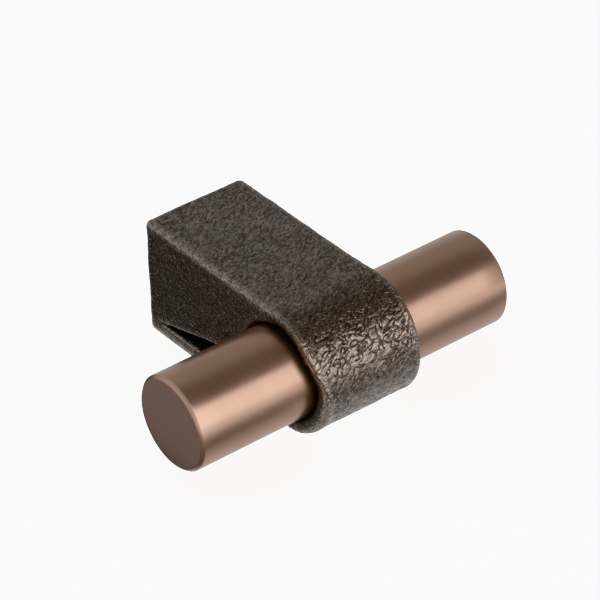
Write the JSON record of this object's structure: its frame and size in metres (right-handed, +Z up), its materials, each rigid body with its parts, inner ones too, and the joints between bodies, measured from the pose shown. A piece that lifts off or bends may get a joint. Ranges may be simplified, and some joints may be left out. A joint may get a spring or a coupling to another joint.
{
  "type": "cabinet knob",
  "caption": "Cabinet knob with a straight round metal bar held across the nose of a leather-grained, strap-shaped cast body that is screwed on from behind.",
  "frame": {"origin": "centre of the bounding box at its lowest face, where the flat underside of the lower strand rests", "axes": "+X along the bar, +Y from the bar towards the mounting face and the cabinet front behind it, +Z up"},
  "size_m": [0.0532, 0.0394, 0.0183],
  "materials": {
    "dark_bronze": "dark bronze patina over a leather-grained casting, satin with brighter high spots",
    "satin_bronze": "fine satin, copper-brown bronze",
    "screw_steel": "blackened steel"
  },
  "bodies": {
    "root": {"cast_body": "dark_bronze", "bar": "satin_bronze", "grub_screw": "screw_steel"}
  },
  "joints": []
}
